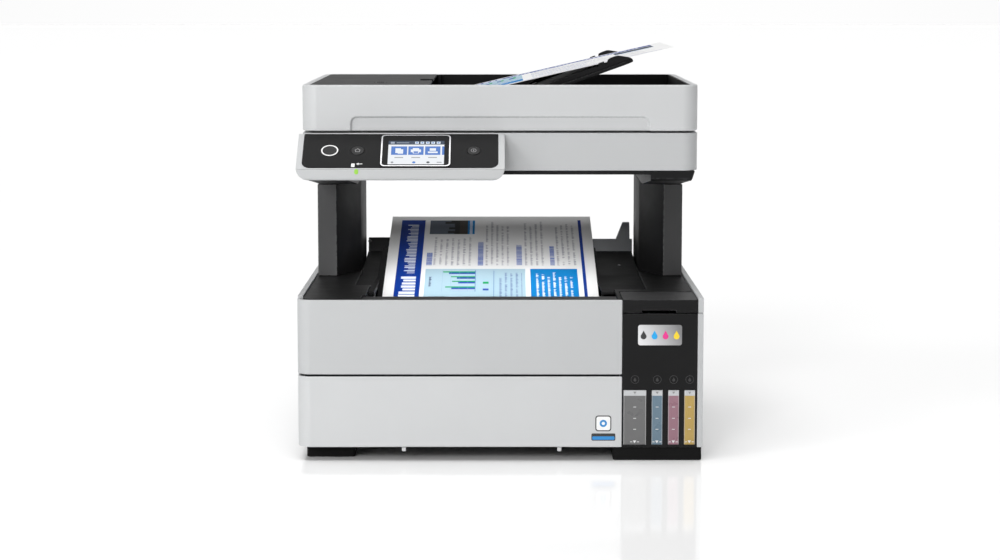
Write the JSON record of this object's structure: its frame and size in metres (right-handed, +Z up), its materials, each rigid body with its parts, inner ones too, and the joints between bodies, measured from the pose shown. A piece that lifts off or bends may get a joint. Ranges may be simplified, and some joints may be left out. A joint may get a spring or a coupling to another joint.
{
  "type": "inkjet printer",
  "caption": "Ink-tank all-in-one inkjet printer with raised flatbed scanner, document feeder, touch panel, front cassette and inclined output tray.",
  "frame": {"origin": "on the desk plane, under the middle of the overall box of the printer with its loaded sheets", "axes": "+X to the right seen from the front, +Y to the back, +Z up"},
  "size_m": [0.375, 0.3586, 0.3803],
  "materials": {
    "shell": "light cool grey moulded shell, fine satin texture",
    "black_plastic": "black moulded plastic, fine matt texture",
    "trim": "dark grey moulded plastic",
    "panel": "smooth dark satin panel",
    "display": "gloss touch screen with a thin silver edge",
    "button": "dark satin key caps",
    "slate": "blue-grey moulded plastic",
    "rubber": "matt rubber",
    "steel": "bare rolled steel",
    "glass": "clear float glass",
    "foam": "white foam backing sheet",
    "paper": "plain white office paper",
    "board": "green circuit board",
    "power_case": "grey vented power supply case",
    "ink_black": "translucent tank wall, black ink",
    "ink_cyan": "translucent tank wall, cyan ink",
    "ink_magenta": "translucent tank wall, magenta ink",
    "ink_yellow": "translucent tank wall, yellow ink"
  },
  "bodies": {
    "base": {"front_panel": "shell", "left_side_panel": "shell", "right_side_panel": "shell", "scanner_housing": "shell", "control_panel_shell": "shell", "base_chassis": "black_plastic", "base_top_frame": "black_plastic", "rear_cover": "black_plastic", "power_inlet": "black_plastic", "left_column": "black_plastic", "right_column": "black_plastic", "scanner_base": "black_plastic", "platen": "black_plastic", "ink_tank_frame": "black_plastic", "front_lip": "trim", "panel_face": "panel", "display_module": "display", "foot_front_left": "rubber", "foot_front_right": "rubber", "foot_rear_left": "rubber", "foot_rear_right": "rubber", "carriage_belt": "rubber", "carriage_rail": "steel", "scanner_glass": "glass", "main_board": "board", "power_supply": "power_case", "ink_tank_black": "ink_black", "ink_tank_cyan": "ink_cyan", "ink_tank_magenta": "ink_magenta", "ink_tank_yellow": "ink_yellow"},
    "cassette": {"cassette_tray": "black_plastic", "cassette_front": "shell"},
    "cassette_guide_l": {"cassette_guide_left": "slate"},
    "cassette_guide_r": {"cassette_guide_right": "slate"},
    "tank_cover": {"ink_tank_cover": "black_plastic"},
    "cap_black": {"tank_cap_black": "ink_black"},
    "cap_cyan": {"tank_cap_cyan": "ink_cyan"},
    "cap_magenta": {"tank_cap_magenta": "ink_magenta"},
    "cap_yellow": {"tank_cap_yellow": "ink_yellow"},
    "output_cover": {"printer_cover": "black_plastic", "printed_sheet": "paper"},
    "paper_support": {"output_support": "slate"},
    "carriage": {"print_carriage": "black_plastic"},
    "pulley": {"drive_pulley": "steel"},
    "feed_shaft": {"feed_roller": "rubber"},
    "exit_shaft": {"exit_roller": "rubber"},
    "pick_shaft": {"pick_roller": "rubber"},
    "scan_head": {"scan_carriage": "black_plastic"},
    "power_key": {"power_button": "button"},
    "home_key": {"home_button": "button"},
    "help_key": {"help_button": "button"},
    "feeder_lid": {"feeder_lid_shell": "shell", "document_output_tray": "panel", "lid_pad": "foam"},
    "feeder_flap": {"feeder_cover": "black_plastic"},
    "feeder_shaft": {"feeder_roller": "rubber"},
    "feed_tray": {"document_tray": "panel", "document_sheet": "paper"},
    "guide_front": {"document_guide_front": "black_plastic"},
    "guide_rear": {"document_guide_rear": "black_plastic"}
  },
  "joints": [
    {"name": "cassette_slide", "type": "slide", "parent": "base", "child": "cassette", "axis": [0, -1, 0], "range_m": [0, 0.25]},
    {"name": "cassette_guide_slide", "type": "slide", "parent": "cassette", "child": "cassette_guide_l", "axis": [1, 0, 0], "range_m": [0, 0.05]},
    {"name": "cassette_guide_follow", "type": "slide", "parent": "cassette", "child": "cassette_guide_r", "axis": [-1, 0, 0], "range_m": [0, 0.05]},
    {"name": "tank_cover_hinge", "type": "hinge", "parent": "base", "child": "tank_cover", "pos_m": [0.15, -0.1201, 0.1526], "axis": [-1, 0, 0], "range_deg": [0, 95]},
    {"name": "cap_black_hinge", "type": "hinge", "parent": "base", "child": "cap_black", "pos_m": [0.12465, -0.1363, 0.1184], "axis": [-1, 0, 0], "range_deg": [0, 70]},
    {"name": "cap_cyan_hinge", "type": "hinge", "parent": "base", "child": "cap_cyan", "pos_m": [0.1453, -0.1363, 0.1184], "axis": [-1, 0, 0], "range_deg": [0, 70]},
    {"name": "cap_magenta_hinge", "type": "hinge", "parent": "base", "child": "cap_magenta", "pos_m": [0.1605, -0.1363, 0.1184], "axis": [-1, 0, 0], "range_deg": [0, 70]},
    {"name": "cap_yellow_hinge", "type": "hinge", "parent": "base", "child": "cap_yellow", "pos_m": [0.17535, -0.1363, 0.1184], "axis": [-1, 0, 0], "range_deg": [0, 70]},
    {"name": "output_cover_hinge", "type": "hinge", "parent": "base", "child": "output_cover", "pos_m": [0, 0.1521, 0.1727], "axis": [-1, 0, 0], "range_deg": [0, 20]},
    {"name": "paper_support_slide", "type": "slide", "parent": "base", "child": "paper_support", "axis": [0, 0, -1], "range_m": [0, 0.026]},
    {"name": "carriage_slide", "type": "slide", "parent": "base", "child": "carriage", "axis": [-1, 0, 0], "range_m": [0, 0.22]},
    {"name": "pulley_spin", "type": "hinge", "parent": "base", "child": "pulley", "pos_m": [-0.16, 0.1166, 0.116], "axis": [0, 1, 0], "range_deg": [0, 1710]},
    {"name": "feed_shaft_spin", "type": "hinge", "parent": "base", "child": "feed_shaft", "pos_m": [-0.0092, 0.0267, 0.089], "axis": [1, 0, 0], "continuous": true},
    {"name": "exit_shaft_spin", "type": "hinge", "parent": "base", "child": "exit_shaft", "pos_m": [-0.0092, -0.1273, 0.119], "axis": [1, 0, 0], "continuous": true},
    {"name": "pick_shaft_spin", "type": "hinge", "parent": "base", "child": "pick_shaft", "pos_m": [-0.005, 0.1097, 0.0764], "axis": [1, 0, 0], "continuous": true},
    {"name": "scan_head_slide", "type": "slide", "parent": "base", "child": "scan_head", "axis": [1, 0, 0], "range_m": [0, 0.3]},
    {"name": "power_key_press", "type": "slide", "parent": "base", "child": "power_key", "axis": [0, 0.5664, -0.8241], "range_m": [0, 0.0007], "stiffness_N_per_m": 600},
    {"name": "home_key_press", "type": "slide", "parent": "base", "child": "home_key", "axis": [0, 0.5664, -0.8241], "range_m": [0, 0.0007], "stiffness_N_per_m": 600},
    {"name": "help_key_press", "type": "slide", "parent": "base", "child": "help_key", "axis": [0, 0.5664, -0.8241], "range_m": [0, 0.0007], "stiffness_N_per_m": 600},
    {"name": "feeder_lid_hinge", "type": "hinge", "parent": "base", "child": "feeder_lid", "pos_m": [0, 0.1677, 0.3032], "axis": [-1, 0, 0], "range_deg": [0, 75]},
    {"name": "feeder_flap_hinge", "type": "hinge", "parent": "feeder_lid", "child": "feeder_flap", "pos_m": [-0.1779, 0.0162, 0.3459], "axis": [0, -1, 0], "range_deg": [0, 75]},
    {"name": "feeder_shaft_spin", "type": "hinge", "parent": "feeder_lid", "child": "feeder_shaft", "pos_m": [-0.1, 0.0162, 0.326], "axis": [0, 1, 0], "continuous": true},
    {"name": "feed_tray_hinge", "type": "hinge", "parent": "feeder_lid", "child": "feed_tray", "pos_m": [-0.02, 0.0162, 0.3173], "axis": [0, 1, 0], "range_deg": [0, 17.5]},
    {"name": "guide_front_slide", "type": "slide", "parent": "feed_tray", "child": "guide_front", "axis": [0, -1, 0], "range_m": [0, 0.003]},
    {"name": "guide_rear_follow", "type": "slide", "parent": "feed_tray", "child": "guide_rear", "axis": [0, 1, 0], "range_m": [0, 0.003]}
  ],
  "couplings": [
    {"joint": "cassette_guide_follow", "follows": "cassette_guide_slide", "ratio": 1},
    {"joint": "pulley_spin", "follows": "carriage_slide", "rad_per_m": 135.13},
    {"joint": "exit_shaft_spin", "follows": "feed_shaft_spin", "ratio": 0.92857},
    {"joint": "guide_rear_follow", "follows": "guide_front_slide", "ratio": 1}
  ]
}
